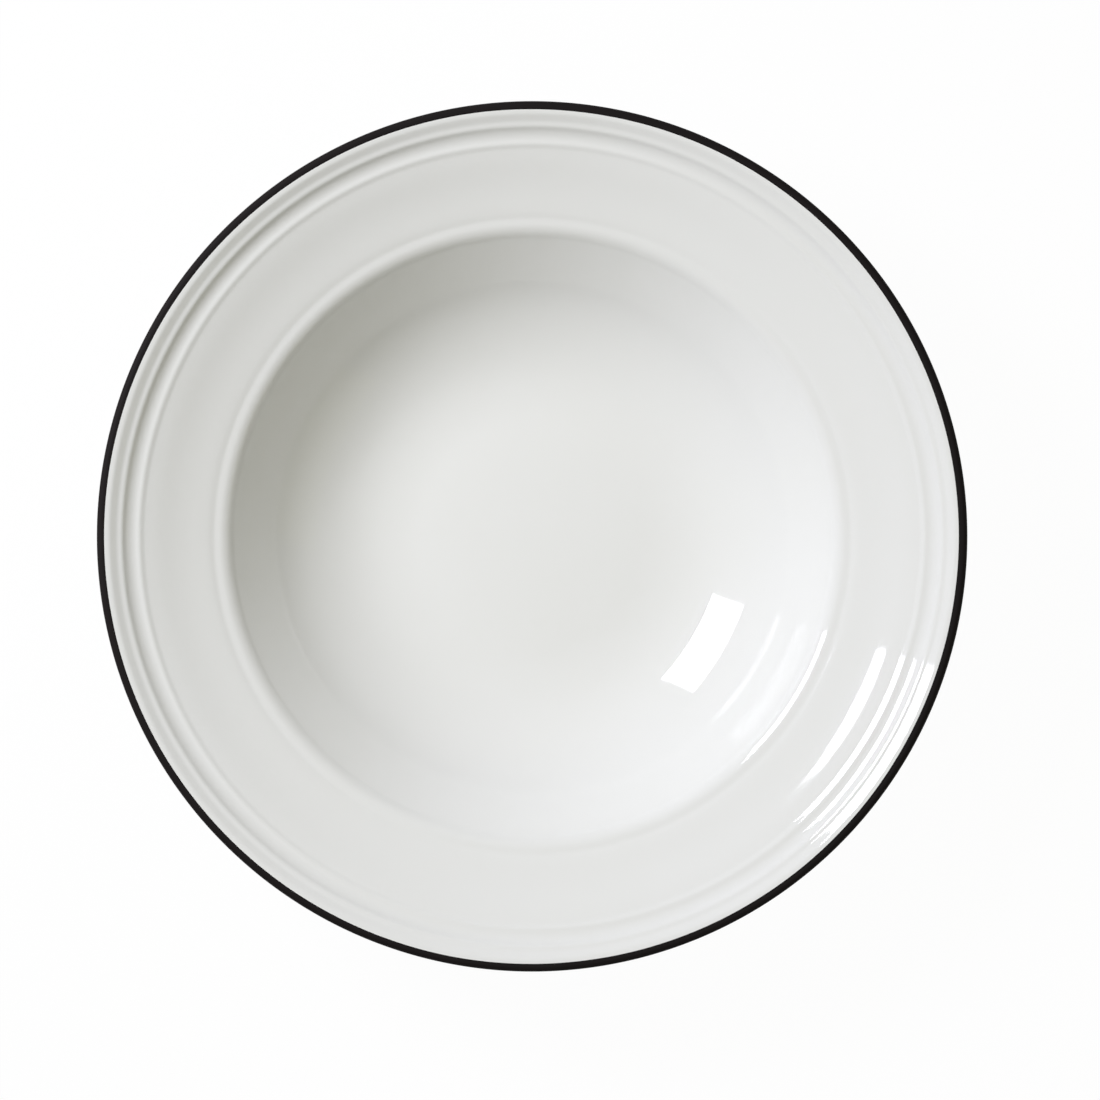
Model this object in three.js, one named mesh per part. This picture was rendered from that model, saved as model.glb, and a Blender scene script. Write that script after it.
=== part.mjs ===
// A deep pasta plate with a wide stepped rim, in glazed hotelware with a black line round its lip.
// Millimetres, +Z up. The origin is the centre of the foot ring's underside, on the surface under the plate.
// Every piece is turned about Z: one fired clay body, and the coats that are fired on to it.
import * as THREE from "three";

// Overall
const plateDiameter = 300;
const wallThickness = 5;
const coatThickness = 0.4;
const coatSeat = 0.02;

// Foot ring, and the floor over it
const footDiameter = 122;
const footFlatWidth = 2.6;
const footCornerRadius = 0.6;
const footBareHeight = 0.9;
const recessHeight = 2.2;
const recessCoveRadius = 0.9;
const backCoveRadius = 2.4;
const floorThickness = 4.2;

// Shoulder of the underside, where the wall turns into the rim
const shoulderRadius = 10;

// Eating face, from the floor outwards: how far each curve reaches, and the slope in degrees that it ends at
const basinRun = 13.5;
const basinSlope = 8;
const wellRun = 12.7;
const wellSlope = 20.5;
const bankRun = 23.35;
const bankSlope = 42;
const wallRun = 15.05;
const wallSlope = 46.5;
const mouthRun = 4.65;
const mouthSlope = 13;
const creaseRun = 1.6;
const creaseSlope = 24;
const creaseEndRun = 1.75;
const creaseEndSlope = 19.8;
const rimSagRun = 2.9;
const rimSagSlope = 18.8;
const rimRiseRun = 9.8;
const rimRiseSlope = 23.6;
const rimTopRun = 2.75;
const rimTopSlope = 24.1;
const rimEndRun = 4.9;
const rimEndSlope = 21.8;

// The three steps of the rim, each a riser that steepens and a tread that levels off again. The outer one has a
// steady brow between the two
const innerRiserRun = 1.25;
const innerRiserSlope = 31;
const innerTreadRun = 1.9;
const innerTreadSlope = 9;
const middleRiserRun = 4.35;
const middleRiserSlope = 44.4;
const middleTreadRun = 1.4;
const middleTreadSlope = 16.5;
const outerRiserRun = 1.35;
const outerRiserSlope = 32;
const outerBrowRun = 1.4;
const outerBrowSlope = 33;
const outerTreadRun = 1.85;
const outerTreadSlope = 14.5;

// Lip, under the black line
const crestRun = 1.2;
const lipTopRadius = 1.7;
const lipUnderRadius = 2.3;

// Fineness: facets round the plate, and the turn in degrees that one facet of an outline's curve takes
const facetsRound = 48;
const wideTurn = 8;
const stepTurn = 17;
const tightTurn = 46;

// Headings of an outline in degrees: outwards, up, down and back towards the axis
const outward = 0;
const upward = 90;
const downward = -90;
const turnBack = 180;

const bowlCurves = [
  { run: basinRun, slope: basinSlope, turn: wideTurn },
  { run: wellRun, slope: wellSlope, turn: wideTurn },
  { run: bankRun, slope: bankSlope, turn: wideTurn },
  { run: wallRun, slope: wallSlope, turn: wideTurn },
];
const rimCurves = [
  { run: mouthRun, slope: mouthSlope, turn: stepTurn },
  { run: creaseRun, slope: creaseSlope, turn: stepTurn },
  { run: creaseEndRun, slope: creaseEndSlope, turn: stepTurn },
  { run: rimSagRun, slope: rimSagSlope, turn: wideTurn },
  { run: rimRiseRun, slope: rimRiseSlope, turn: wideTurn },
  { run: rimTopRun, slope: rimTopSlope, turn: wideTurn },
  { run: rimEndRun, slope: rimEndSlope, turn: wideTurn },
  { run: innerRiserRun, slope: innerRiserSlope, turn: stepTurn },
  { run: innerTreadRun, slope: innerTreadSlope, turn: stepTurn },
  { run: middleRiserRun, slope: middleRiserSlope, turn: stepTurn },
  { run: middleTreadRun, slope: middleTreadSlope, turn: stepTurn },
  { run: outerRiserRun, slope: outerRiserSlope, turn: stepTurn },
  { run: outerBrowRun, slope: outerBrowSlope, turn: stepTurn },
  { run: outerTreadRun, slope: outerTreadSlope, turn: stepTurn },
];
const faceCurves = [...bowlCurves, ...rimCurves];

const plateRadius = plateDiameter / 2;
const facesReach = faceCurves.reduce((sum, curve) => sum + curve.run, 0);
const floorRadius = plateRadius - facesReach - crestRun - lipTopRadius;
const floorHeight = recessHeight + floorThickness;

const sine = (degrees) => Math.sin(THREE.MathUtils.degToRad(degrees));
const cosine = (degrees) => Math.cos(THREE.MathUtils.degToRad(degrees));
const degreesOf = (radians) => THREE.MathUtils.radToDeg(radians);

// An outline is a list of stations: x is the distance from the axis, y the height, and heading the way on.
// The clay always lies on the left of an outline.

// Goes straight on from the last station.
function goStraight(outline, length) {
  const from = outline.at(-1);
  outline.push({
    x: from.x + length * cosine(from.heading),
    y: from.y + length * sine(from.heading),
    heading: from.heading,
  });
}

// Turns to a new heading round an arc that leaves the last station smoothly.
function goRound(outline, radius, heading, facetTurn) {
  const from = outline.at(-1);
  const turn = heading - from.heading;
  const reach = Math.sign(turn) * radius;
  const centreX = from.x - reach * sine(from.heading);
  const centreY = from.y + reach * cosine(from.heading);
  const steps = Math.ceil(Math.abs(turn) / facetTurn);
  for (let step = 1; step <= steps; step += 1) {
    const now = from.heading + (turn * step) / steps;
    outline.push({ x: centreX + reach * sine(now), y: centreY - reach * cosine(now), heading: now });
  }
}

// The radius of the arc that takes an outline from one slope to another while it reaches a run further out.
function radiusAcross(run, fromSlope, toSlope) {
  return run / Math.abs(sine(toSlope) - sine(fromSlope));
}

// The same outline, gone along the other way.
function reversed(outline) {
  return outline.map(({ x, y, heading }) => ({ x, y, heading: heading + turnBack })).reverse();
}

// The outline that runs beside another one, a distance into the clay.
function beside(outline, distance) {
  return outline.map(({ x, y, heading }) => ({
    x: x - distance * sine(heading),
    y: y + distance * cosine(heading),
    heading,
  }));
}

// Eating face from the axis to the black line, by the curves listed above.
function drawFace() {
  const face = [{ x: 0, y: floorHeight, heading: outward }];
  goStraight(face, floorRadius);
  for (const { run, slope, turn } of faceCurves) {
    goRound(face, radiusAcross(run, face.at(-1).heading, slope), slope, turn);
  }
  return face;
}

// Top of the lip, from the end of the face over the crest to the outermost point of the plate.
function drawLipTop(face) {
  const lip = [face.at(-1)];
  goRound(lip, radiusAcross(crestRun, lip.at(-1).heading, outward), outward, tightTurn);
  goRound(lip, lipTopRadius, downward, tightTurn);
  return lip;
}

// Finished underside inside the foot ring, from the axis down the ring's inner side to where the glaze ends.
function drawRecess() {
  const recess = [{ x: 0, y: recessHeight, heading: outward }];
  goStraight(recess, footInnerRadius - recessCoveRadius);
  goRound(recess, recessCoveRadius, downward, tightTurn);
  goStraight(recess, recessHeight - recessCoveRadius - footBareHeight);
  return recess;
}

// Bare clay of the foot ring, down from one edge of the glaze, across the flat under it, and up again.
function drawBareFoot() {
  const foot = [{ x: footInnerRadius + coatThickness, y: footBareHeight, heading: downward }];
  goStraight(foot, footBareHeight - footCornerRadius);
  goRound(foot, footCornerRadius, outward, tightTurn);
  goStraight(foot, footFlatWidth);
  goRound(foot, footCornerRadius, upward, tightTurn);
  goStraight(foot, footBareHeight - footCornerRadius);
  return foot;
}

// The bowl's curves as arcs, from the floor outwards, each with its centre, its radius and its last slope.
function bowlArcs() {
  const arcs = [];
  let from = { x: floorRadius, y: floorHeight, heading: outward };
  for (const { run, slope } of bowlCurves) {
    const radius = radiusAcross(run, from.heading, slope);
    const centreX = from.x - radius * sine(from.heading);
    const centreY = from.y + radius * cosine(from.heading);
    arcs.push({ centreX, centreY, radius, slope });
    from = { x: centreX + radius * sine(slope), y: centreY - radius * cosine(slope), heading: slope };
  }
  return arcs;
}

// The slope at which the cove over the foot ring's outer side touches the underside of a bowl's arc.
function coveSlopeUnder({ centreX, radius }) {
  const coveX = footOuterRadius + backCoveRadius;
  return degreesOf(Math.asin((coveX - centreX) / (radius + wallThickness + backCoveRadius)));
}

// Finished underside outside the foot ring. It runs a wall's thickness below the bowl from where the cove
// touches it, then round the shoulder, and straight to the lip on the line that touches both the shoulder and
// the lip's round underside.
function drawBack(lipEnd) {
  const arcs = bowlArcs();
  const firstArc = arcs.findIndex((arc) => coveSlopeUnder(arc) < arc.slope);
  const { centreY, radius } = arcs[firstArc];
  const coveSlope = coveSlopeUnder(arcs[firstArc]);
  const coveY = centreY - (radius + wallThickness + backCoveRadius) * cosine(coveSlope);

  const back = [{ x: footOuterRadius, y: footBareHeight, heading: upward }];
  goStraight(back, coveY - footBareHeight);
  goRound(back, backCoveRadius, coveSlope, tightTurn);
  for (const arc of arcs.slice(firstArc)) {
    goRound(back, arc.radius + wallThickness, arc.slope, wideTurn);
  }

  const wallEnd = back.at(-1);
  const spanX = lipEnd.x - lipUnderRadius - wallEnd.x - shoulderRadius * sine(wallSlope);
  const spanY = lipEnd.y - wallEnd.y + shoulderRadius * cosine(wallSlope);
  const span = Math.hypot(spanX, spanY);
  const dip = degreesOf(Math.asin((shoulderRadius + lipUnderRadius) / span));
  goRound(back, shoulderRadius, degreesOf(Math.atan2(spanY, spanX)) - dip, stepTurn);
  goStraight(back, span * cosine(dip));
  return back;
}

// Underside of the lip, from the end of the back to the outermost point of the plate.
function drawLipUnder(back) {
  const lip = [back.at(-1)];
  goRound(lip, lipUnderRadius, upward, tightTurn);
  return lip;
}

const footClayWidth = footFlatWidth + 2 * footCornerRadius;
const footInnerRadius = (footDiameter - footClayWidth) / 2 - coatThickness;
const footOuterRadius = (footDiameter + footClayWidth) / 2 + coatThickness;

const face = drawFace();
const lipTop = drawLipTop(face);
const recess = drawRecess();
const bareFoot = drawBareFoot();
const back = drawBack(lipTop.at(-1));
const lipUnder = drawLipUnder(back);
const faceInward = reversed(face);
const lip = [...lipUnder.slice(0, -1), ...reversed(lipTop)];

// The solid that an outline of stations sweeps when it is turned about the axis.
function turnedSolid(outline) {
  const points = outline.map(({ x, y }) => new THREE.Vector2(x, y));
  const solid = new THREE.LatheGeometry(points, facetsRound);
  return solid.rotateX(THREE.MathUtils.degToRad(upward));
}

// The hidden side of a coat, gone along the other way. It stays a hair off the clay, by the seat.
function hiddenSide(outside) {
  return reversed(beside(outside, coatThickness - coatSeat));
}

// A coat over a stretch of the plate that starts and ends away from the axis.
function coatRing(outside) {
  return [...outside, ...hiddenSide(outside), outside[0]];
}

// The coat inside the foot ring, which starts on the axis and comes back to it.
function coatUnderFloor(outside) {
  return [...outside, ...hiddenSide(outside)];
}

// The coat on the eating face, which starts on the axis and comes back to it.
function coatOverFloor(outside) {
  return [...hiddenSide(outside), ...outside];
}

const glazeFinish = { color: "#e8e8e4", roughness: 0.1, metalness: 0 };
const clayFinish = { color: "#ddd6c9", roughness: 0.85, metalness: 0 };
const blackFinish = { color: "#211d1d", roughness: 0.3, metalness: 0 };

function makePiece(name, outline, finish) {
  const piece = new THREE.Mesh(turnedSolid(outline), new THREE.MeshStandardMaterial(finish));
  piece.name = name;
  return piece;
}

const clayAbove = beside([...back, ...lip.slice(1), ...faceInward.slice(1)], coatThickness);
const clayOutline = [...beside(recess, coatThickness), ...bareFoot.slice(1, -1), ...clayAbove];

const plate = new THREE.Group();
plate.add(makePiece("clay_body", clayOutline, clayFinish));
plate.add(makePiece("face_glaze", coatOverFloor(faceInward), glazeFinish));
plate.add(makePiece("back_glaze", coatRing(back), glazeFinish));
plate.add(makePiece("foot_recess_glaze", coatUnderFloor(recess), glazeFinish));
plate.add(makePiece("edge_band", coatRing(lip), blackFinish));

export default plate;
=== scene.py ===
"""Dresses the pasta plate: its fired clay, its coats of glaze and its black line, in a pale studio."""

import logging
import math
from dataclasses import dataclass, field
from enum import Enum
from typing import Mapping, Sequence, Union

import bpy
import numpy as np
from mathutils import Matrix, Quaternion, Vector


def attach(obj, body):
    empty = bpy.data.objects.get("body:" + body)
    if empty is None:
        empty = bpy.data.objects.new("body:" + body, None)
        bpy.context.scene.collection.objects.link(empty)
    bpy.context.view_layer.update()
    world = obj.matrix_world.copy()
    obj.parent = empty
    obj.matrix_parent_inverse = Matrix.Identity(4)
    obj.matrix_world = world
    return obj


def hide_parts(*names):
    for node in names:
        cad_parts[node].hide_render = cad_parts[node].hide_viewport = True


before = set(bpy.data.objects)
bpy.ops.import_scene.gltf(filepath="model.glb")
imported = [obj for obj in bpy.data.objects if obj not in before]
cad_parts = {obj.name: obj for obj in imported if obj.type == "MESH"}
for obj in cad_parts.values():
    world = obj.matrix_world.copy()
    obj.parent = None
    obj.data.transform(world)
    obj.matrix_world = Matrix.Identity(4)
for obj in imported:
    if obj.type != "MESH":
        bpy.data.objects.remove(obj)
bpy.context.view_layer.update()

BODY = "root"
LOG = logging.getLogger("pasta_plate")

# Headings along an outline, in radians
OUTWARD = 0.0
UPWARD = math.pi / 2
DOWNWARD = -math.pi / 2
TURN_BACK = math.pi
FULL_TURN = 2 * math.pi


class Slot(Enum):
    """The finishes that the plate's record lists."""

    FIRED_CLAY = "fired_clay"
    WHITE_GLAZE = "white_glaze"
    BLACK_BAND = "black_band"


class Ray(Enum):
    """The kinds of ray that the studio's surfaces tell apart."""

    CAMERA = "Is Camera Ray"
    DIFFUSE = "Is Diffuse Ray"
    GLOSSY = "Is Glossy Ray"
    TRANSMISSION = "Is Transmission Ray"


# Shader graphs

Number = Union[int, float]
Colour = tuple[float, float, float, float]


def colour(red: float, green: float, blue: float) -> Colour:
    """A solid colour in linear light."""
    return (red, green, blue, 1.0)


@dataclass(frozen=True)
class Wire:
    """A value that comes out of a shader node, and takes arithmetic as a plain number would.

    Attributes:
        graph: The graph that the value belongs to.
        socket: The output socket that it comes out of.
    """

    graph: "ShaderGraph"
    socket: bpy.types.NodeSocket

    def __add__(self, other: "WireOrNumber") -> "Wire":
        """self + other."""
        return self.graph.math("ADD", self, other)

    def __radd__(self, other: "WireOrNumber") -> "Wire":
        """other + self."""
        return self.graph.math("ADD", other, self)

    def __sub__(self, other: "WireOrNumber") -> "Wire":
        """self - other."""
        return self.graph.math("SUBTRACT", self, other)

    def __rsub__(self, other: "WireOrNumber") -> "Wire":
        """other - self."""
        return self.graph.math("SUBTRACT", other, self)

    def __mul__(self, other: "WireOrNumber") -> "Wire":
        """self * other."""
        return self.graph.math("MULTIPLY", self, other)

    def __rmul__(self, other: "WireOrNumber") -> "Wire":
        """other * self."""
        return self.graph.math("MULTIPLY", other, self)


WireOrNumber = Union[Wire, Number]
SocketValue = Union[Wire, Number, Sequence[float]]
SocketKey = Union[str, int]

# Sockets of the Mix node that are for colours
MIX_SHARE, MIX_FIRST, MIX_SECOND, MIX_RESULT = 0, 6, 7, 2


class ShaderGraph:
    """The node tree of a material or of the world, emptied and ready to be filled."""

    RING_DETAIL = 3.0

    def __init__(self, owner: Union[bpy.types.Material, bpy.types.World]) -> None:
        """Empties the owner's node tree.

        Args:
            owner: The material or world whose nodes are made here.
        """
        owner.use_nodes = True
        self.tree = owner.node_tree
        self.tree.nodes.clear()

    def node(
        self,
        kind: str,
        settings: Mapping[str, object] | None = None,
        sockets: Mapping[SocketKey, SocketValue] | None = None,
    ) -> bpy.types.Node:
        """Adds a node of any kind.

        Args:
            kind: The node's type name.
            settings: What is set on the node itself, before its sockets.
            sockets: Input sockets by name or number, each with its value or the wire that feeds it.

        Returns:
            The new node.
        """
        made = self.tree.nodes.new(kind)
        for name, value in (settings or {}).items():
            setattr(made, name, value)
        for key, value in (sockets or {}).items():
            if isinstance(value, Wire):
                self.tree.links.new(value.socket, made.inputs[key])
            else:
                made.inputs[key].default_value = value
        return made

    def value(
        self,
        kind: str,
        output: SocketKey,
        settings: Mapping[str, object] | None = None,
        sockets: Mapping[SocketKey, SocketValue] | None = None,
    ) -> Wire:
        """Adds a node of any kind and takes one of its outputs.

        Args:
            kind: The node's type name.
            output: The output's name or number.
            settings: What is set on the node itself, before its sockets.
            sockets: Input sockets by name or number, each with its value or the wire that feeds it.

        Returns:
            What comes out of that output.
        """
        return Wire(self, self.node(kind, settings, sockets).outputs[output])

    def math(self, operation: str, *values: WireOrNumber) -> Wire:
        """The result of one Math node on wires and numbers."""
        return self.value("ShaderNodeMath", "Value", {"operation": operation}, dict(enumerate(values)))

    def between(self, value: Wire, low: float, high: float) -> Wire:
        """A smooth step of a value, 0 at low and 1 at high."""
        sockets = {"Value": value, "From Min": low, "From Max": high}
        return self.value("ShaderNodeMapRange", "Result", {"interpolation_type": "SMOOTHSTEP"}, sockets)

    def blend(self, share: WireOrNumber, first: SocketValue, second: SocketValue) -> Wire:
        """Two colours mixed, by the share of the second."""
        sockets = {MIX_SHARE: share, MIX_FIRST: first, MIX_SECOND: second}
        return self.value("ShaderNodeMix", MIX_RESULT, {"data_type": "RGBA"}, sockets)

    def tinted(self, tint: Colour, brightness: Wire) -> Wire:
        """A colour made as bright as a value says."""
        sockets = {0: tint[:3], "Scale": brightness}
        return self.value("ShaderNodeVectorMath", "Vector", {"operation": "SCALE"}, sockets)

    def place(self) -> Wire:
        """The point on the piece in the plate's own frame, in metres."""
        return self.value("ShaderNodeTexCoord", "Object")

    def axis_distance(self, place: Wire) -> Wire:
        """How far a point lies from the plate's axis, in metres."""
        return self.value("ShaderNodeVectorMath", "Value", {"operation": "LENGTH"}, {0: self._flattened(place)})

    def _flattened(self, place: Wire) -> Wire:
        """A point moved down on to the table."""
        sockets = {0: place, 1: (1.0, 1.0, 0.0)}
        return self.value("ShaderNodeVectorMath", "Vector", {"operation": "MULTIPLY"}, sockets)

    def mottle(self, place: Wire, size: float, detail: float = 2.0) -> Wire:
        """Soft cloudy noise from 0 to 1, with clouds of about the given size in metres."""
        return self.value("ShaderNodeTexNoise", "Fac", None, {"Vector": place, "Scale": 1 / size, "Detail": detail})

    def rings(self, distance: Wire, pitch: float) -> Wire:
        """Noise from 0 to 1 that only changes away from the axis, as a turning tool leaves it."""
        sockets = {"W": distance, "Scale": 1 / pitch, "Detail": self.RING_DETAIL}
        return self.value("ShaderNodeTexNoise", "Fac", {"noise_dimensions": "1D"}, sockets)

    def bump(self, height: Wire, depth: float, base: Wire | None = None) -> Wire:
        """Bends the surface's normal by a height map.

        Args:
            height: The height, from 0 to 1.
            depth: What a height of 1 is in metres.
            base: The normal that is bent, where it isn't the surface's own.

        Returns:
            The bent normal.
        """
        sockets: dict[SocketKey, SocketValue] = {"Strength": 1.0, "Distance": depth, "Height": height}
        if base is not None:
            sockets["Normal"] = base
        return self.value("ShaderNodeBump", "Normal", None, sockets)

    def surface(self, shader: Wire) -> None:
        """Ends the graph of a material or world with its shader."""
        world = isinstance(self.tree.id_data, bpy.types.World)
        self.node("ShaderNodeOutputWorld" if world else "ShaderNodeOutputMaterial", None, {"Surface": shader})


# Finishes


@dataclass(frozen=True)
class WhiteGlaze:
    """Clear gloss glaze over white clay, a little warmer where it lies thick, with the turner's rings under it.

    Attributes:
        thin: Its colour where it lies thin.
        thick: Its colour where it lies thick.
        cloud: Size of the patches of thick and thin.
        gloss_low: Its lowest roughness.
        gloss_high: Its highest roughness, in the smears that wiping leaves.
        smear: Size of those smears.
        peel: Width of the waves that it sets in as it melts.
        peel_depth: Their depth.
        ring_pitch: Width of the fine rings on the steep wall.
        ring_depth: Their depth.
        ring_inner: Distance from the axis at which they start.
        ring_outer: Distance from the axis at which they end.
        ring_fade: How far they take to fade in and out.
        index: Its refractive index.
    """

    thin: Colour = colour(0.800, 0.800, 0.784)
    thick: Colour = colour(0.790, 0.791, 0.768)
    cloud: float = 0.045
    gloss_low: float = 0.030
    gloss_high: float = 0.055
    smear: float = 0.03
    peel: float = 0.009
    peel_depth: float = 0.000003
    ring_pitch: float = 0.0011
    ring_depth: float = 0.0000015
    ring_inner: float = 0.0935
    ring_outer: float = 0.1065
    ring_fade: float = 0.004
    index: float = 1.5

    def material(self, name: str, turned: bool) -> bpy.types.Material:
        """The glaze as a material.

        Args:
            name: The material's name.
            turned: Whether the steep wall under this coat shows the turner's rings.

        Returns:
            The new material.
        """
        made = bpy.data.materials.new(name)
        graph = ShaderGraph(made)
        place = graph.place()
        base = graph.blend(graph.mottle(place, self.cloud), self.thin, self.thick)
        smears = graph.mottle(place, self.smear, detail=4.0)
        gloss = self.gloss_low + smears * (self.gloss_high - self.gloss_low)
        normal = graph.bump(graph.mottle(place, self.peel), self.peel_depth)
        if turned:
            normal = graph.bump(self._turned_rings(graph, place), self.ring_depth, normal)
        sockets = {"Base Color": base, "Roughness": gloss, "IOR": self.index, "Normal": normal}
        graph.surface(graph.value("ShaderNodeBsdfPrincipled", "BSDF", None, sockets))
        return made

    def _turned_rings(self, graph: ShaderGraph, place: Wire) -> Wire:
        """Draws the fine rings on the steep wall, faded out at both ends.

        Args:
            graph: The material's graph.
            place: The point on the piece.

        Returns:
            Their height, from 0 to 1.
        """
        distance = graph.axis_distance(place)
        rising = graph.between(distance, self.ring_inner, self.ring_inner + self.ring_fade)
        falling = 1 - graph.between(distance, self.ring_outer - self.ring_fade, self.ring_outer)
        return graph.rings(distance, self.ring_pitch) * rising * falling


@dataclass(frozen=True)
class BlackLine:
    """Black ceramic colour fired on to the lip, with the soft gloss and faint streaks of a loaded brush.

    Attributes:
        full: Its colour where the brush was full.
        starved: Its colour where the brush ran dry.
        streak_pitch: Width of the streaks that run round with the brush.
        patch: Size of the patches of full and dry.
        gloss_low: Its lowest roughness.
        gloss_high: Its highest roughness, where it is dry.
        shine: How much it mirrors, where 0.5 is plain glass.
        grain: Size of its fine grain.
        grain_depth: Depth of that grain.
        index: Its refractive index.
    """

    full: Colour = colour(0.0105, 0.0085, 0.0085)
    starved: Colour = colour(0.017, 0.0138, 0.0135)
    streak_pitch: float = 0.0007
    patch: float = 0.012
    gloss_low: float = 0.58
    gloss_high: float = 0.70
    shine: float = 0.08
    grain: float = 0.0006
    grain_depth: float = 0.000003
    index: float = 1.5

    def material(self, name: str) -> bpy.types.Material:
        """The black line as a material.

        Args:
            name: The material's name.

        Returns:
            The new material.
        """
        made = bpy.data.materials.new(name)
        graph = ShaderGraph(made)
        place = graph.place()
        patches = graph.mottle(place, self.patch, detail=3.0)
        streaks = graph.rings(graph.axis_distance(place), self.streak_pitch)
        base = graph.blend(streaks * patches, self.full, self.starved)
        gloss = self.gloss_low + patches * (self.gloss_high - self.gloss_low)
        normal = graph.bump(graph.mottle(place, self.grain), self.grain_depth)
        sockets = {"Base Color": base, "Roughness": gloss, "IOR": self.index, "Normal": normal}
        sockets["Specular IOR Level"] = self.shine
        graph.surface(graph.value("ShaderNodeBsdfPrincipled", "BSDF", None, sockets))
        return made


@dataclass(frozen=True)
class BareClay:
    """Fired clay where the foot is wiped bare and ground: matt, faintly grainy and a little grey from use.

    Attributes:
        clean: Its colour where it is clean.
        worn: Its colour where tables have rubbed it grey.
        wear: Size of the rubbed patches.
        wear_low: The level of the wear's noise at which the rubbed colour starts.
        wear_high: The level at which it shows most.
        wear_share: How much of the rubbed colour shows at most.
        scuff_pitch: Width of the scuffs that grinding leaves round the foot.
        grain: Size of its grain.
        grain_depth: Depth of that grain.
        roughness_low: Its lowest roughness.
        roughness_high: Its highest roughness.
    """

    clean: Colour = colour(0.72, 0.675, 0.595)
    worn: Colour = colour(0.47, 0.44, 0.39)
    wear: float = 0.006
    wear_low: float = 0.2
    wear_high: float = 0.42
    wear_share: float = 0.55
    scuff_pitch: float = 0.0004
    grain: float = 0.0008
    grain_depth: float = 0.00004
    roughness_low: float = 0.62
    roughness_high: float = 0.9

    def material(self, name: str) -> bpy.types.Material:
        """The bare clay as a material.

        Args:
            name: The material's name.

        Returns:
            The new material.
        """
        made = bpy.data.materials.new(name)
        graph = ShaderGraph(made)
        place = graph.place()
        scuffs = graph.rings(graph.axis_distance(place), self.scuff_pitch)
        rubbed = graph.between(graph.mottle(place, self.wear, detail=5.0) * scuffs, self.wear_low, self.wear_high)
        base = graph.blend(rubbed * self.wear_share, self.clean, self.worn)
        grain = graph.mottle(place, self.grain, detail=4.0)
        rough = self.roughness_low + grain * (self.roughness_high - self.roughness_low)
        normal = graph.bump(grain, self.grain_depth)
        sockets = {"Base Color": base, "Roughness": rough, "Normal": normal}
        graph.surface(graph.value("ShaderNodeBsdfPrincipled", "BSDF", None, sockets))
        return made


# Outlines of the section


@dataclass(frozen=True)
class Track:
    """Points along an outline of the section, close enough together to be turned into a surface.

    Attributes:
        reach: Each point's distance from the axis, in metres.
        height: Each point's height over the table, in metres.
        heading: The way the outline goes on at each point, in radians. What it bounds lies on its left.
    """

    reach: np.ndarray
    height: np.ndarray
    heading: np.ndarray

    def reversed(self) -> "Track":
        """The same line, gone along the other way."""
        return Track(self.reach[::-1], self.height[::-1], self.heading[::-1] + TURN_BACK)

    def beside(self, depth: float) -> "Track":
        """The line that runs on the left of this one, a depth away."""
        reach = self.reach - depth * np.sin(self.heading)
        return Track(reach, self.height + depth * np.cos(self.heading), self.heading)

    def then(self, *others: "Track") -> "Track":
        """This line and the ones that follow it as one line, with a point that two share kept once.

        Args:
            others: The lines that follow, in order.

        Returns:
            The one line.
        """
        parts = [self]
        for other in others:
            gap = math.hypot(other.reach[0] - parts[-1].reach[-1], other.height[0] - parts[-1].height[-1])
            first = 1 if gap < Outline.STEP / 2 else 0
            parts.append(Track(other.reach[first:], other.height[first:], other.heading[first:]))
        return Track(
            np.concatenate([part.reach for part in parts]),
            np.concatenate([part.height for part in parts]),
            np.concatenate([part.heading for part in parts]),
        )

    def thinned(self, longest: float, sharpest: float, shortest: float = 0.00003) -> "Track":
        """The same line with only as many points as it needs.

        Args:
            longest: The longest step between two points, in metres.
            sharpest: The largest turn between two points, in degrees.
            shortest: The step between two points that no turn makes shorter, in metres.

        Returns:
            The line with fewer points, its two ends kept.
        """
        steps = np.hypot(np.diff(self.reach), np.diff(self.height))
        turns = np.minimum(np.abs(np.diff(self.heading)) / math.radians(sharpest), steps / shortest)
        effort = np.concatenate([[0.0], np.cumsum(np.maximum(steps / longest, turns))])
        wanted = np.linspace(0.0, effort[-1], max(2, math.ceil(effort[-1]) + 1))
        return Track(
            np.interp(wanted, effort, self.reach),
            np.interp(wanted, effort, self.height),
            np.interp(wanted, effort, self.heading),
        )


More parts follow.
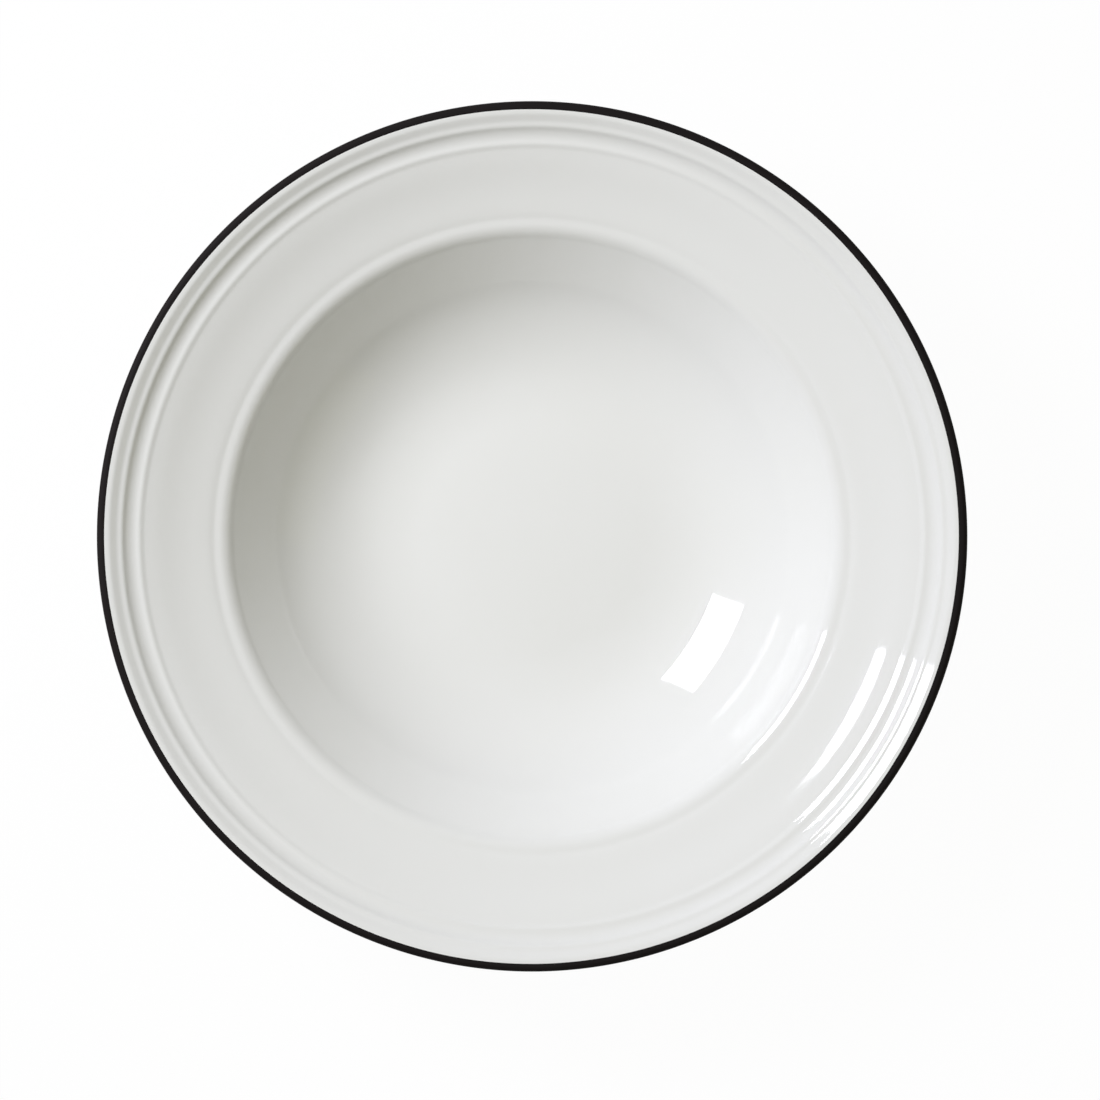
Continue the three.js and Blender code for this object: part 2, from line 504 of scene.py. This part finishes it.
class Outline:
    """A line drawn stretch by stretch in the plane of the section, each stretch going on smoothly from the last."""

    STEP = 0.00002
    BLUR_REACH = 3

    def __init__(self, reach: float, height: float, heading: float) -> None:
        """Starts the line.

        Args:
            reach: The first point's distance from the axis, in metres.
            height: Its height over the table, in metres.
            heading: The way that the line sets off in, in radians.
        """
        self.reach = reach
        self.height = height
        self.headings = [heading]
        self.lengths: list[float] = []

    def straight(self, length: float) -> "Outline":
        """Goes straight on for a length."""
        return self._stretch(length, self.headings[-1])

    def round(self, radius: float, heading: float) -> "Outline":
        """Turns to a new heading round an arc."""
        return self._stretch(radius * abs(heading - self.headings[-1]), heading)

    def across(self, run: float, heading: float) -> "Outline":
        """Turns to a new heading on the arc that ends a run further out."""
        return self.round(run / abs(math.sin(heading) - math.sin(self.headings[-1])), heading)

    def _stretch(self, length: float, heading: float) -> "Outline":
        """Adds a stretch whose heading changes evenly along it.

        Args:
            length: The stretch's length, in metres.
            heading: Its heading at its end, in radians.

        Returns:
            This outline.
        """
        self.lengths.append(length)
        self.headings.append(heading)
        return self

    def track(self, softness: float = 0.0) -> Track:
        """Walks the line in fine steps.

        Args:
            softness: How far each join is spread along the line, as glaze spreads it, in metres.

        Returns:
            The line's points, of which the first and the last lie where they were drawn.
        """
        count = math.ceil(sum(self.lengths) / self.STEP) + 1
        walked, step = np.linspace(0.0, sum(self.lengths), count, retstep=True)
        corners = np.concatenate([[0.0], np.cumsum(self.lengths)])
        drawn = np.interp(walked, corners, self.headings)
        reach, height = self._walk(drawn, step)
        heading = self._blurred(drawn, softness / step)
        soft_reach, soft_height = self._walk(heading, step)
        share = walked / walked[-1]
        soft_reach += (reach[-1] - soft_reach[-1]) * share
        soft_height += (height[-1] - soft_height[-1]) * share
        return Track(soft_reach, soft_height, heading)

    def _walk(self, heading: np.ndarray, step: float) -> tuple[np.ndarray, np.ndarray]:
        """Adds up the steps taken in each heading.

        Args:
            heading: The heading at each point.
            step: The length of a step.

        Returns:
            Each point's distance from the axis, and its height.
        """
        middle = (heading[1:] + heading[:-1]) / 2
        reach = self.reach + np.concatenate([[0.0], np.cumsum(np.cos(middle)) * step])
        height = self.height + np.concatenate([[0.0], np.cumsum(np.sin(middle)) * step])
        return reach, height

    def _blurred(self, heading: np.ndarray, spread: float) -> np.ndarray:
        """Blurs the headings along the line.

        Args:
            heading: The heading at each point.
            spread: The width of the blur in steps.

        Returns:
            The blurred headings, of which the first and the last are unchanged.
        """
        width = int(self.BLUR_REACH * spread)
        if width < 1:
            return heading
        weights = np.exp(-0.5 * (np.arange(-width, width + 1) / spread) ** 2)
        before = 2 * heading[0] - heading[width:0:-1]
        after = 2 * heading[-1] - heading[-2 : -width - 2 : -1]
        return np.convolve(np.concatenate([before, heading, after]), weights / weights.sum(), mode="valid")


# The plate's section


@dataclass(frozen=True)
class Curve:
    """One curve of the eating face.

    Attributes:
        run: How far it reaches outwards, in metres.
        ends_at: The slope that it ends at, in degrees.
    """

    run: float
    ends_at: float


@dataclass(frozen=True)
class Arc:
    """A curve of the bowl as an arc of a circle.

    Attributes:
        centre_reach: Its centre's distance from the axis, in metres.
        centre_height: Its centre's height over the table, in metres.
        radius: Its radius, in metres.
        ends_at: The slope that it ends at, in radians.
    """

    centre_reach: float
    centre_height: float
    radius: float
    ends_at: float


@dataclass(frozen=True)
class Section:
    """The sizes of the plate's section in metres, and the lines of its finished surface.

    The back follows the bowl's smooth curves, and the face has the kinks that the turning tool left in them.
    """

    plate_diameter: float = 0.300
    wall_thickness: float = 0.005
    coat_thickness: float = 0.0004
    coat_seat: float = 0.00002
    foot_diameter: float = 0.122
    foot_flat_width: float = 0.0026
    foot_corner_radius: float = 0.0006
    foot_bare_height: float = 0.0009
    recess_height: float = 0.0022
    recess_cove_radius: float = 0.0009
    back_cove_radius: float = 0.0024
    floor_thickness: float = 0.0036
    shoulder_radius: float = 0.010
    bowl: tuple[Curve, ...] = (Curve(0.0135, 8.0), Curve(0.0127, 20.5), Curve(0.02335, 42.0), Curve(0.01505, 46.5))
    bowl_face: tuple[Curve, ...] = (
        *(Curve(0.0135, 8.0), Curve(0.0127, 20.5), Curve(0.0131, 31.9), Curve(0.0080, 41.2)),
        *(Curve(0.0026, 42.83), Curve(0.0013, 44.47), Curve(0.0010, 45.67), Curve(0.0063, 45.34)),
        *(Curve(0.0026, 46.19), Curve(0.0019, 46.37), Curve(0.0010, 52.8), Curve(0.00065, 45.0)),
    )
    rim: tuple[Curve, ...] = (
        *(Curve(0.00365, 14.5), Curve(0.0010, 13.0), Curve(0.0016, 24.0), Curve(0.00175, 19.8)),
        *(Curve(0.0029, 18.8), Curve(0.0085, 23.2), Curve(0.0028, 24.55), Curve(0.0049, 21.9)),
        Curve(0.00125, 21.7),
    )
    steps: tuple[Curve, ...] = (
        *(Curve(0.00135, 33.3), Curve(0.0015, 9.0), Curve(0.00445, 47.0)),
        *(Curve(0.00135, 17.0), Curve(0.00145, 33.0)),
        *(Curve(0.00135, 33.6), Curve(0.00125, 15.0), Curve(0.0008, 14.0)),
    )
    crest_run: float = 0.0012
    lip_top_radius: float = 0.0017
    lip_under_radius: float = 0.0023
    face_softness: float = 0.0003
    lip_softness: float = 0.00015

    @property
    def face_curves(self) -> tuple[Curve, ...]:
        """Every curve of the face as it was turned, from the floor outwards."""
        return (*self.bowl_face, *self.rim, *self.steps)

    @property
    def edge_radius(self) -> float:
        """Radius of the whole plate."""
        return self.plate_diameter / 2

    @property
    def floor_radius(self) -> float:
        """Radius of the flat floor, which is what the curves leave."""
        return self.edge_radius - sum(curve.run for curve in self.face_curves) - self.crest_run - self.lip_top_radius

    @property
    def floor_height(self) -> float:
        """Height of the floor over the table."""
        return self.recess_height + self.floor_thickness

    @property
    def foot_half_width(self) -> float:
        """Half the width of the foot ring, with its glaze."""
        return self.foot_flat_width / 2 + self.foot_corner_radius + self.coat_thickness

    @property
    def foot_inner_radius(self) -> float:
        """Radius of the foot ring's inner side."""
        return self.foot_diameter / 2 - self.foot_half_width

    @property
    def foot_outer_radius(self) -> float:
        """Radius of the foot ring's outer side."""
        return self.foot_diameter / 2 + self.foot_half_width

    def face(self) -> Track:
        """The eating face.

        Returns:
            The line from the axis out to the black line.
        """
        outline = Outline(0.0, self.floor_height, OUTWARD).straight(self.floor_radius)
        for curve in self.face_curves:
            outline.across(curve.run, math.radians(curve.ends_at))
        return outline.track(self.face_softness)

    def lip_top(self, face: Track) -> Track:
        """The top of the lip, from the end of the face over the crest to the plate's edge."""
        crest = Outline(face.reach[-1], face.height[-1], face.heading[-1]).across(self.crest_run, OUTWARD)
        return crest.round(self.lip_top_radius, DOWNWARD).track(self.lip_softness)

    def recess(self) -> Track:
        """The glazed underside inside the foot ring.

        Returns:
            The line from the axis out and down the ring's inner side.
        """
        cove = self.recess_cove_radius
        outline = Outline(0.0, self.recess_height, OUTWARD)
        outline.straight(self.foot_inner_radius - cove).round(cove, DOWNWARD)
        return outline.straight(self.recess_height - cove - self.foot_bare_height).track()

    def bare_foot(self) -> Track:
        """The bare clay of the foot ring.

        Returns:
            The line down, across the flat that the plate stands on, and up again.
        """
        corner = self.foot_corner_radius
        side = self.foot_bare_height - corner
        outline = Outline(self.foot_inner_radius + self.coat_thickness, self.foot_bare_height, DOWNWARD)
        outline.straight(side).round(corner, OUTWARD).straight(self.foot_flat_width)
        return outline.round(corner, UPWARD).straight(side).track()

    def _bowl_arcs(self) -> list[Arc]:
        """Works out the bowl's curves as arcs.

        Returns:
            The arcs, from the floor outwards.
        """
        arcs: list[Arc] = []
        reach, height, slope = self.floor_radius, self.floor_height, OUTWARD
        for curve in self.bowl:
            ends_at = math.radians(curve.ends_at)
            radius = curve.run / (math.sin(ends_at) - math.sin(slope))
            arc = Arc(reach - radius * math.sin(slope), height + radius * math.cos(slope), radius, ends_at)
            reach = arc.centre_reach + radius * math.sin(ends_at)
            height = arc.centre_height - radius * math.cos(ends_at)
            slope = ends_at
            arcs.append(arc)
        return arcs

    def back(self, edge: Track) -> Track:
        """The glazed underside outside the foot ring, up to the round of the lip.

        Args:
            edge: The top of the lip, whose last point is the plate's edge.

        Returns:
            The line a wall's thickness under the bowl, and straight on under the rim.
        """
        cove_reach = self.foot_outer_radius + self.back_cove_radius
        arcs = self._bowl_arcs()
        spans = [arc.radius + self.wall_thickness + self.back_cove_radius for arc in arcs]
        sines = [(cove_reach - arc.centre_reach) / span for arc, span in zip(arcs, spans)]
        first = next(place for place, arc in enumerate(arcs) if sines[place] < math.sin(arc.ends_at))
        cove_slope = math.asin(sines[first])
        cove_height = arcs[first].centre_height - spans[first] * math.cos(cove_slope)
        outline = Outline(self.foot_outer_radius, self.foot_bare_height, UPWARD)
        outline.straight(cove_height - self.foot_bare_height).round(self.back_cove_radius, cove_slope)
        for arc in arcs[first:]:
            outline.round(arc.radius + self.wall_thickness, arc.ends_at)
        wall_end = outline.track()
        wall_slope = arcs[-1].ends_at
        across = edge.reach[-1] - self.lip_under_radius - wall_end.reach[-1]
        across -= self.shoulder_radius * math.sin(wall_slope)
        up = edge.height[-1] - wall_end.height[-1] + self.shoulder_radius * math.cos(wall_slope)
        span = math.hypot(across, up)
        dip = math.asin((self.shoulder_radius + self.lip_under_radius) / span)
        outline.round(self.shoulder_radius, math.atan2(up, across) - dip)
        return outline.straight(span * math.cos(dip)).track(self.lip_softness)

    def lip_under(self, back: Track) -> Track:
        """The underside of the lip, from the end of the back to the plate's edge."""
        outline = Outline(back.reach[-1], back.height[-1], back.heading[-1])
        return outline.round(self.lip_under_radius, UPWARD).track()


@dataclass
class PlateLines:
    """The lines of the finished surface, in order round the section, each starting where the last one ends."""

    section: Section
    recess: Track = field(init=False)
    foot: Track = field(init=False)
    back: Track = field(init=False)
    lip: Track = field(init=False)
    face: Track = field(init=False)

    def __post_init__(self) -> None:
        """Draws the lines."""
        face = self.section.face()
        lip_top = self.section.lip_top(face)
        self.recess = self.section.recess()
        self.foot = self.section.bare_foot()
        self.back = self.section.back(lip_top)
        self.lip = self.section.lip_under(self.back).then(lip_top.reversed())
        self.face = face.reversed()


# The marks of the hand and the kiln


@dataclass(frozen=True)
class PaintedEdge:
    """One edge of the black line as it was painted on a turning wheel, a little off centre and not quite even.

    Attributes:
        reach: Its distance from the axis as drawn, in metres.
        height: Its height over the table as drawn, in metres.
        slope: The slope of the surface there, in radians.
        offset: How far off centre it was painted, in metres.
        bearing: Where round the plate the line is widest, in radians.
        waves: The number of waves round the plate, the size in metres and the phase of each unevenness.
        follow: How far away the surface's rows still follow it, in metres.
    """

    reach: float
    height: float
    slope: float
    offset: float
    bearing: float
    waves: tuple[tuple[int, float, float], ...]
    follow: float = 0.0011

    def widening(self, angle: np.ndarray) -> np.ndarray:
        """How much wider than drawn the line is at each angle round the plate."""
        painted = self.offset * np.cos(angle - self.bearing)
        return painted + sum(size * np.cos(count * angle + phase) for count, size, phase in self.waves)

    def moved(self, reach: np.ndarray, height: np.ndarray, angle: np.ndarray) -> tuple[np.ndarray, np.ndarray]:
        """Points of the section moved along with the edge.

        Args:
            reach: Each point's distance from the axis.
            height: Each point's height.
            angle: Each point's angle round the plate.

        Returns:
            The new distances from the axis, and the new heights.
        """
        near = np.clip(1 - np.hypot(reach - self.reach, height - self.height) / self.follow, 0.0, 1.0)
        shift = self.widening(angle) * near**2 * (3 - 2 * near)
        return reach - shift * math.cos(self.slope), height - shift * math.sin(self.slope)


@dataclass(frozen=True)
class KilnWarp:
    """The slight saddle that a wide rim takes in the kiln.

    Attributes:
        foot_radius: Radius inside which the plate stands flat, in metres.
        edge_radius: Radius of the plate, in metres.
        rise: How far the edge rises and falls, in metres.
        bearing: Where round the plate it is highest, in radians.
    """

    foot_radius: float
    edge_radius: float
    rise: float = 0.00012
    bearing: float = 0.6

    def lifted(self, reach: np.ndarray, height: np.ndarray, angle: np.ndarray) -> np.ndarray:
        """Each point's height after firing."""
        out = np.clip((reach - self.foot_radius) / (self.edge_radius - self.foot_radius), 0.0, 1.0)
        return height + self.rise * out**2 * np.cos(2 * (angle - self.bearing))


@dataclass
class Turner:
    """Turns closed lines of the section into meshes, with the marks of the hand and the kiln.

    Attributes:
        lines: The lines of the finished surface.
        segments: How many faces go round the plate.
        hidden_step: The longest step on a covered surface, in metres.
        hidden_turn: The largest turn on a covered surface, in degrees.
        hidden_detail: The step on a covered surface that no turn makes shorter, in metres.
        crisp: The angle between two faces, in degrees, from which their edge stays crisp.
        warp: What the kiln does.
        edges: The two edges of the black line.
    """

    lines: PlateLines
    segments: int = 480
    hidden_step: float = 0.006
    hidden_turn: float = 6.0
    hidden_detail: float = 0.0003
    crisp: float = 40.0
    warp: KilnWarp = field(init=False)
    edges: tuple[PaintedEdge, ...] = field(init=False)

    def __post_init__(self) -> None:
        """Takes the places of the black line's edges from the section."""
        section, face, back = self.lines.section, self.lines.face, self.lines.back
        self.warp = KilnWarp(section.foot_outer_radius, section.edge_radius)
        upper = PaintedEdge(
            face.reach[0], face.height[0], slope=face.heading[0] - TURN_BACK, offset=0.00022, bearing=0.16,
            waves=((3, 0.000035, 1.1), (7, 0.000020, 2.6), (13, 0.000012, 0.4), (29, 0.000007, 4.0)),
        )
        lower = PaintedEdge(
            back.reach[-1], back.height[-1], slope=back.heading[-1], offset=0.00015, bearing=1.9,
            waves=((2, 0.00010, 0.3), (5, 0.00006, 2.2), (11, 0.000035, 5.0), (23, 0.00002, 1.7)),
        )
        self.edges = (upper, lower)

    def hidden(self, line: Track, depth: float) -> Track:
        """A line at a depth under the finished surface, with the few points that a covered one needs."""
        return line.thinned(self.hidden_step, self.hidden_turn, self.hidden_detail).beside(depth)

    def coat(self, line: Track, turn: float, step: float) -> Track:
        """The outline of a coat that lies on the clay.

        Args:
            line: The finished surface.
            turn: The largest turn between two rows of it, in degrees.
            step: The longest step between two rows of it, in metres.

        Returns:
            The finished surface and the covered side of the coat, with a rolled bead where it ends at the foot.
        """
        section = self.lines.section
        thickness = section.coat_thickness - section.coat_seat
        shown = line.thinned(step, turn)
        covered = self.hidden(line, thickness).reversed()
        if abs(shown.height[0] - section.foot_bare_height) < Outline.STEP:
            return shown.then(covered, self._bead(covered.reach[-1], thickness))
        if abs(shown.height[-1] - section.foot_bare_height) < Outline.STEP:
            return shown.then(self._bead(shown.reach[-1], thickness), covered)
        return shown.then(covered)

    def _bead(self, reach: float, thickness: float) -> Track:
        """The rolled edge that melted glaze draws up to over the bare foot."""
        outline = Outline(reach, self.lines.section.foot_bare_height, DOWNWARD)
        return outline.round(thickness / 2, UPWARD).track().thinned(thickness, 20.0)

    def turned(self, name: str, loop: Track) -> bpy.types.Object:
        """Turns a line about the axis.

        Args:
            name: The new object's name.
            loop: The line, gone round with the piece on its left. Its last point is followed by its first.

        Returns:
            The new object.
        """
        angles = np.arange(self.segments) * (FULL_TURN / self.segments)
        reach, angle = np.meshgrid(loop.reach, angles, indexing="ij")
        height = np.repeat(loop.height[:, None], self.segments, axis=1)
        for edge in self.edges:
            reach, height = edge.moved(reach, height, angle)
        height = self.warp.lifted(reach, height, angle)
        points = np.stack([reach * np.cos(angle), reach * np.sin(angle), height], axis=-1)
        rows = [1 if on_axis else self.segments for on_axis in loop.reach < Outline.STEP / 2]
        starts = np.concatenate([[0], np.cumsum(rows)])
        corners = [start + np.arange(self.segments) % count for start, count in zip(starts, rows)]
        vertices = np.concatenate([points[row, :count] for row, count in enumerate(rows)])
        mesh = bpy.data.meshes.new(name)
        mesh.from_pydata(vertices.tolist(), [], self._faces(corners, rows))
        mesh.shade_smooth()
        mesh.set_sharp_from_angle(angle=math.radians(self.crisp))
        piece = bpy.data.objects.new(name, mesh)
        bpy.context.scene.collection.objects.link(piece)
        return piece

    @staticmethod
    def _faces(corners: list[np.ndarray], rows: list[int]) -> list[tuple[int, ...]]:
        """The faces between each row of points and the next.

        Args:
            corners: The numbers of each row's points, once for each segment.
            rows: How many points each row has, which is one for a point on the axis.

        Returns:
            The faces, as numbers of points.
        """
        faces: list[tuple[int, ...]] = []
        for place, here in enumerate(corners):
            following = (place + 1) % len(corners)
            there = corners[following]
            if rows[place] == 1 and rows[following] == 1:
                continue
            if rows[place] == 1:
                ring = (here, np.roll(there, -1), there)
            elif rows[following] == 1:
                ring = (here, np.roll(here, -1), there)
            else:
                ring = (here, np.roll(here, -1), np.roll(there, -1), there)
            faces.extend(zip(*(points.tolist() for points in ring)))
        return faces


# Pieces of the plate


def dress(piece: bpy.types.Object, node: str, finish: bpy.types.Material) -> None:
    """Gives a piece its finish and its place in the frame.

    Args:
        piece: The piece, already in place.
        node: The node that it stands for.
        finish: Its material.
    """
    piece.data.materials.append(finish)
    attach(piece, BODY)
    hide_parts(node)
    LOG.info("%s stands for %s, with %d faces", piece.name, node, len(piece.data.polygons))


@dataclass
class ClayBody:
    """The fired clay under the coats, and its bare foot ring.

    Attributes:
        turner: Who turns it.
        finish: Its finish.
        foot_step: The longest step across the bare foot, in metres.
        foot_turn: The largest turn round the bare foot, in degrees.
    """

    turner: Turner
    finish: BareClay = BareClay()
    foot_step: float = 0.0004
    foot_turn: float = 9.0

    def build(self) -> None:
        """Makes the body and dresses it."""
        lines = self.turner.lines
        depth = lines.section.coat_thickness
        foot = lines.foot.thinned(self.foot_step, self.foot_turn)
        covered = [self.turner.hidden(line, depth) for line in (lines.back, lines.lip, lines.face)]
        loop = self.turner.hidden(lines.recess, depth).then(foot, *covered)
        piece = self.turner.turned("fired_clay_body", loop)
        dress(piece, "clay_body", self.finish.material("bare_clay"))


@dataclass
class GlazeCoats:
    """The three coats of white glaze: on the eating face, on the back, and inside the foot ring.

    Attributes:
        turner: Who turns them.
        finish: Their finish.
        face_turn: The largest turn between two rows of the face, in degrees.
        back_turn: The largest turn between two rows of the back, in degrees.
        step: The longest step between two rows, in metres.
    """

    turner: Turner
    finish: WhiteGlaze = WhiteGlaze()
    face_turn: float = 0.8
    back_turn: float = 2.0
    step: float = 0.0025

    def build(self) -> None:
        """Makes the coats and dresses them."""
        lines = self.turner.lines
        turned_glaze = self.finish.material("face_glaze", turned=True)
        plain_glaze = self.finish.material("back_glaze", turned=False)
        face = self.turner.coat(lines.face, self.face_turn, self.step)
        back = self.turner.coat(lines.back, self.back_turn, self.step)
        recess = self.turner.coat(lines.recess, self.back_turn, self.step)
        dress(self.turner.turned("face_glaze_coat", face), "face_glaze", turned_glaze)
        dress(self.turner.turned("back_glaze_coat", back), "back_glaze", plain_glaze)
        dress(self.turner.turned("recess_glaze_coat", recess), "foot_recess_glaze", plain_glaze)


@dataclass
class EdgeLine:
    """The black line round the lip.

    Attributes:
        turner: Who turns it.
        finish: Its finish.
        turn: The largest turn between two rows, in degrees.
        step: The longest step between two rows, in metres.
    """

    turner: Turner
    finish: BlackLine = BlackLine()
    turn: float = 3.0
    step: float = 0.0003

    def build(self) -> None:
        """Makes the line and dresses it."""
        loop = self.turner.coat(self.turner.lines.lip, self.turn, self.step)
        piece = self.turner.turned("black_edge_line", loop)
        dress(piece, "edge_band", self.finish.material("black_edge"))


# The studio


@dataclass(frozen=True)
class Lamp:
    """A flat lamp that faces the plate.

    Attributes:
        name: Its name.
        bearing: Where it stands round the plate, in degrees from +X.
        zenith: How far it stands down from straight above the plate, in degrees.
        distance: How far away it is, in metres.
        width: Its width, in metres.
        height: Its height, in metres.
        radiance: How bright it looks, where 1 is white.
        tint: The colour of its light.
        rolled: How far it is rolled about the way it faces, in degrees.
        tipped: How far it is tipped up from facing the plate's middle, in degrees.
    """

    name: str
    bearing: float
    zenith: float
    distance: float
    width: float
    height: float
    radiance: float
    tint: tuple[float, float, float]
    rolled: float = 0.0
    tipped: float = 0.0

    def build(self) -> None:
        """Hangs the lamp."""
        data = bpy.data.lights.new(self.name, "AREA")
        data.shape = "RECTANGLE"
        data.size = self.width
        data.size_y = self.height
        data.energy = self.radiance * self.width * self.height * math.pi
        data.color = self.tint
        across = math.sin(math.radians(self.zenith)) * self.distance
        place = Vector(
            (
                across * math.cos(math.radians(self.bearing)),
                across * math.sin(math.radians(self.bearing)),
                math.cos(math.radians(self.zenith)) * self.distance,
            )
        )
        lamp = bpy.data.objects.new(self.name, data)
        lamp.location = place
        facing = (-place).to_track_quat("-Z", "Y")
        rolled = Quaternion((0.0, 0.0, 1.0), math.radians(self.rolled))
        tipped = Quaternion((1.0, 0.0, 0.0), math.radians(self.tipped))
        lamp.rotation_euler = (facing @ rolled @ tipped).to_euler()
        bpy.context.scene.collection.objects.link(lamp)


@dataclass
class Studio:
    """A pale table under a dim ceiling, with a softbox, a reflector opposite, and the camera overhead.

    Attributes:
        lamps: The softbox and the reflector.
        table_radius: Radius of the table, in metres.
        table_sides: How many corners the table has.
        table_colour: Its colour in the light.
        table_shade: How much of its real light and shade shows, the rest being plain white.
        horizon: Brightness low down all round, where 1 is white.
        ceiling: Brightness of what the glaze reflects overhead.
        overhead: Brightness of the soft light straight from above.
        overhead_tint: The colour of that light.
        overhead_start: How high over the table that light starts, as a share of the way to straight above.
        horizon_top: Where the pale horizon ends, in degrees over the table.
        ceiling_start: Where the ceiling starts, in degrees over the table.
        camera_place: Where the camera is, in metres.
        lens: Its focal length in millimetres.
        sensor: The width of its sensor in millimetres.
    """

    lamps: tuple[Lamp, ...] = (
        Lamp(
            "softbox", bearing=148.0, zenith=44.8, distance=1.0, width=0.346, height=0.383,
            radiance=24.3, tint=(0.974, 0.988, 1.078), rolled=4.0, tipped=29.9,
        ),
        Lamp(
            "reflector", bearing=-21.0, zenith=64.5, distance=1.05, width=0.80, height=0.535,
            radiance=0.22, tint=(1.02, 1.0, 0.50),
        ),
    )
    table_radius: float = 3.0
    table_sides: int = 64
    table_colour: Colour = colour(0.8, 0.8, 0.8)
    table_shade: float = 0.03
    horizon: Colour = colour(1.0, 1.0, 1.0)
    ceiling: Colour = colour(0.06, 0.06, 0.06)
    overhead: float = 0.68
    overhead_tint: Colour = colour(1.015, 1.0, 0.86)
    overhead_start: float = 0.353
    horizon_top: float = 1.0
    ceiling_start: float = 2.5
    camera_place: tuple[float, float, float] = (0.00616, -0.0047, 1.5581)
    lens: float = 142.57
    sensor: float = 36.0

    def build(self) -> None:
        """Sets up the table, the light and the camera."""
        for lamp in self.lamps:
            lamp.build()
        self._lay_table()
        self._light_room()
        self._place_camera()
        bpy.context.scene.view_settings.view_transform = "Standard"

    def _lay_table(self) -> None:
        """Makes the table that the plate stands on."""
        turns = [FULL_TURN * side / self.table_sides for side in range(self.table_sides)]
        rim = [(self.table_radius * math.cos(turn), self.table_radius * math.sin(turn), 0.0) for turn in turns]
        mesh = bpy.data.meshes.new("table")
        mesh.from_pydata(rim, [], [tuple(range(self.table_sides))])
        mesh.materials.append(self._table_material())
        table = bpy.data.objects.new("table", mesh)
        bpy.context.scene.collection.objects.link(table)

    def _table_material(self) -> bpy.types.Material:
        """The table's material, which looks white and yet takes the plate's shadow.

        Returns:
            The new material, which lights the plate as pale card would.
        """
        made = bpy.data.materials.new("pale_table")
        graph = ShaderGraph(made)
        seen = self._seen(graph)
        card = graph.value("ShaderNodeBsdfDiffuse", "BSDF", None, {"Color": self.table_colour})
        white = graph.value("ShaderNodeEmission", "Emission", None, {"Color": self.horizon})
        sockets = {0: seen * (1 - self.table_shade), 1: card, 2: white}
        graph.surface(graph.value("ShaderNodeMixShader", "Shader", None, sockets))
        return made

    @staticmethod
    def _seen(graph: ShaderGraph) -> Wire:
        """Tells the rays that see or mirror a surface from those that gather soft light.

        Args:
            graph: The material's graph.

        Returns:
            1 for the rays that see or mirror it, 0 for the rest.
        """
        rays = graph.node("ShaderNodeLightPath")
        kinds = [Wire(graph, rays.outputs[ray.value]) for ray in (Ray.CAMERA, Ray.GLOSSY, Ray.TRANSMISSION)]
        return graph.math("MAXIMUM", graph.math("MAXIMUM", kinds[0], kinds[1]), kinds[2])

    def _light_room(self) -> None:
        """Lights the plate softly from above, with a dim ceiling that only shows where the glaze mirrors it."""
        world = bpy.data.worlds.new("room")
        bpy.context.scene.world = world
        graph = ShaderGraph(world)
        direction = graph.value("ShaderNodeTexCoord", "Generated")
        up = graph.value("ShaderNodeSeparateXYZ", "Z", None, {"Vector": direction})
        low, high = math.sin(math.radians(self.horizon_top)), math.sin(math.radians(self.ceiling_start))
        mirrored = 1 - graph.value("ShaderNodeLightPath", Ray.CAMERA.value)
        seen = graph.blend(graph.between(up, low, high) * mirrored, self.horizon, self.ceiling)
        soft = graph.value("ShaderNodeLightPath", Ray.DIFFUSE.value)
        glow = graph.math("MAXIMUM", up - self.overhead_start, 0.0) * (self.overhead / (1 - self.overhead_start))
        light = graph.blend(soft, seen, graph.tinted(self.overhead_tint, glow))
        graph.surface(graph.value("ShaderNodeBackground", "Background", None, {"Color": light}))

    def _place_camera(self) -> None:
        """Hangs the camera over the plate, looking straight down."""
        data = bpy.data.cameras.new("overhead")
        data.lens = self.lens
        data.sensor_width = self.sensor
        camera = bpy.data.objects.new("overhead", data)
        camera.location = self.camera_place
        bpy.context.scene.collection.objects.link(camera)
        bpy.context.scene.camera = camera


def main() -> None:
    """Builds the plate's pieces and the studio, in order."""
    logging.basicConfig(level=logging.INFO, format="%(message)s")
    turner = Turner(PlateLines(Section()))
    ClayBody(turner).build()
    GlazeCoats(turner).build()
    EdgeLine(turner).build()
    Studio().build()


if __name__ == "__main__":
    main()
